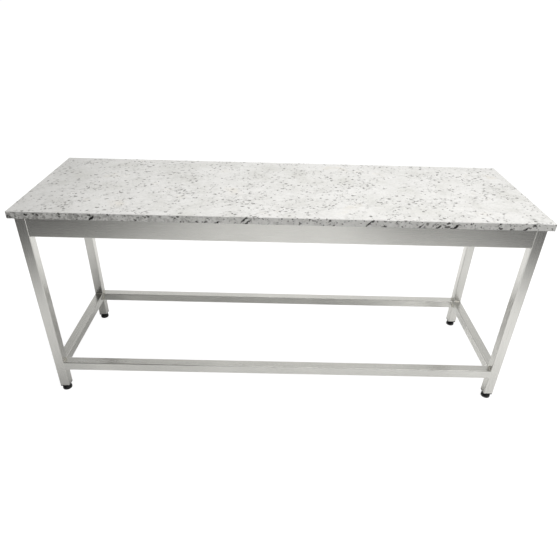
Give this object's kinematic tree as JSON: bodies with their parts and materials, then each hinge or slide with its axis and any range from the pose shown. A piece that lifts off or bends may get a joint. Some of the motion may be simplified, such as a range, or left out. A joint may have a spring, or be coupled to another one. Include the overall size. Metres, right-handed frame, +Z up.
{
  "type": "weighing balance table",
  "caption": "Laboratory weighing table: a thick granite slab bedded on a welded stainless tube frame with aprons, low rails and levelling feet.",
  "frame": {"origin": "on the floor under the middle of the table, with the feet screwed in", "axes": "+X along the table to the right as seen from the front, +Y from front to rear, +Z up"},
  "size_m": [2, 0.63, 0.885],
  "materials": {
    "granite": "polished light grey granite with small dark mineral specks",
    "stainless_tube": "stainless steel tube, grain brushed along its length, welds ground flush",
    "bedding_rubber": "plain black sheet rubber",
    "black_nylon": "moulded black nylon, satin",
    "foot_rubber": "matt black rubber",
    "zinc_plated_steel": "bright zinc plate",
    "blackened_steel": "black oxide"
  },
  "bodies": {
    "frame_and_top": {"granite_top": "granite", "leg_front_left": "stainless_tube", "leg_front_right": "stainless_tube", "leg_rear_left": "stainless_tube", "leg_rear_right": "stainless_tube", "lower_rail_front": "stainless_tube", "apron_front": "stainless_tube", "bedding_strip_front": "bedding_rubber", "lower_rail_rear": "stainless_tube", "apron_rear": "stainless_tube", "bedding_strip_rear": "bedding_rubber", "lower_rail_left": "stainless_tube", "apron_left": "stainless_tube", "bedding_strip_left": "bedding_rubber", "lower_rail_right": "stainless_tube", "apron_right": "stainless_tube", "bedding_strip_right": "bedding_rubber", "cross_bearer_1": "stainless_tube", "bedding_strip_bearer_1": "bedding_rubber", "cross_bearer_2": "stainless_tube", "bedding_strip_bearer_2": "bedding_rubber", "leg_plug_front_left": "black_nylon", "plug_nut_front_left": "zinc_plated_steel", "leg_plug_front_right": "black_nylon", "plug_nut_front_right": "zinc_plated_steel", "leg_plug_rear_left": "black_nylon", "plug_nut_rear_left": "zinc_plated_steel", "leg_plug_rear_right": "black_nylon", "plug_nut_rear_right": "zinc_plated_steel"},
    "foot_front_left": {"foot_base_front_left": "black_nylon", "foot_sole_front_left": "foot_rubber"},
    "stem_front_left": {"foot_stem_front_left": "blackened_steel"},
    "foot_front_right": {"foot_base_front_right": "black_nylon", "foot_sole_front_right": "foot_rubber"},
    "stem_front_right": {"foot_stem_front_right": "blackened_steel"},
    "foot_rear_left": {"foot_base_rear_left": "black_nylon", "foot_sole_rear_left": "foot_rubber"},
    "stem_rear_left": {"foot_stem_rear_left": "blackened_steel"},
    "foot_rear_right": {"foot_base_rear_right": "black_nylon", "foot_sole_rear_right": "foot_rubber"},
    "stem_rear_right": {"foot_stem_rear_right": "blackened_steel"}
  },
  "joints": [
    {"name": "foot_height_front_left", "type": "slide", "parent": "frame_and_top", "child": "foot_front_left", "axis": [0, 0, -1], "range_m": [-0.003, 0.025]},
    {"name": "foot_height_front_right", "type": "slide", "parent": "frame_and_top", "child": "foot_front_right", "axis": [0, 0, -1], "range_m": [-0.003, 0.025]},
    {"name": "foot_height_rear_left", "type": "slide", "parent": "frame_and_top", "child": "foot_rear_left", "axis": [0, 0, -1], "range_m": [-0.003, 0.025]},
    {"name": "foot_height_rear_right", "type": "slide", "parent": "frame_and_top", "child": "foot_rear_right", "axis": [0, 0, -1], "range_m": [-0.003, 0.025]},
    {"name": "stem_turn_front_left", "type": "hinge", "parent": "foot_front_left", "child": "stem_front_left", "pos_m": [-0.963, -0.278, 0.0198], "axis": [0, 0, -1], "range_deg": [-730, 6010]},
    {"name": "stem_turn_front_right", "type": "hinge", "parent": "foot_front_right", "child": "stem_front_right", "pos_m": [0.963, -0.278, 0.0198], "axis": [0, 0, -1], "range_deg": [-730, 6010]},
    {"name": "stem_turn_rear_left", "type": "hinge", "parent": "foot_rear_left", "child": "stem_rear_left", "pos_m": [-0.963, 0.278, 0.0198], "axis": [0, 0, -1], "range_deg": [-730, 6010]},
    {"name": "stem_turn_rear_right", "type": "hinge", "parent": "foot_rear_right", "child": "stem_rear_right", "pos_m": [0.963, 0.278, 0.0198], "axis": [0, 0, -1], "range_deg": [-730, 6010]}
  ],
  "couplings": [
    {"joint": "stem_turn_front_left", "follows": "foot_height_front_left", "rad_per_m": 4188.8},
    {"joint": "stem_turn_front_right", "follows": "foot_height_front_right", "rad_per_m": 4188.8},
    {"joint": "stem_turn_rear_left", "follows": "foot_height_rear_left", "rad_per_m": 4188.8},
    {"joint": "stem_turn_rear_right", "follows": "foot_height_rear_right", "rad_per_m": 4188.8}
  ]
}
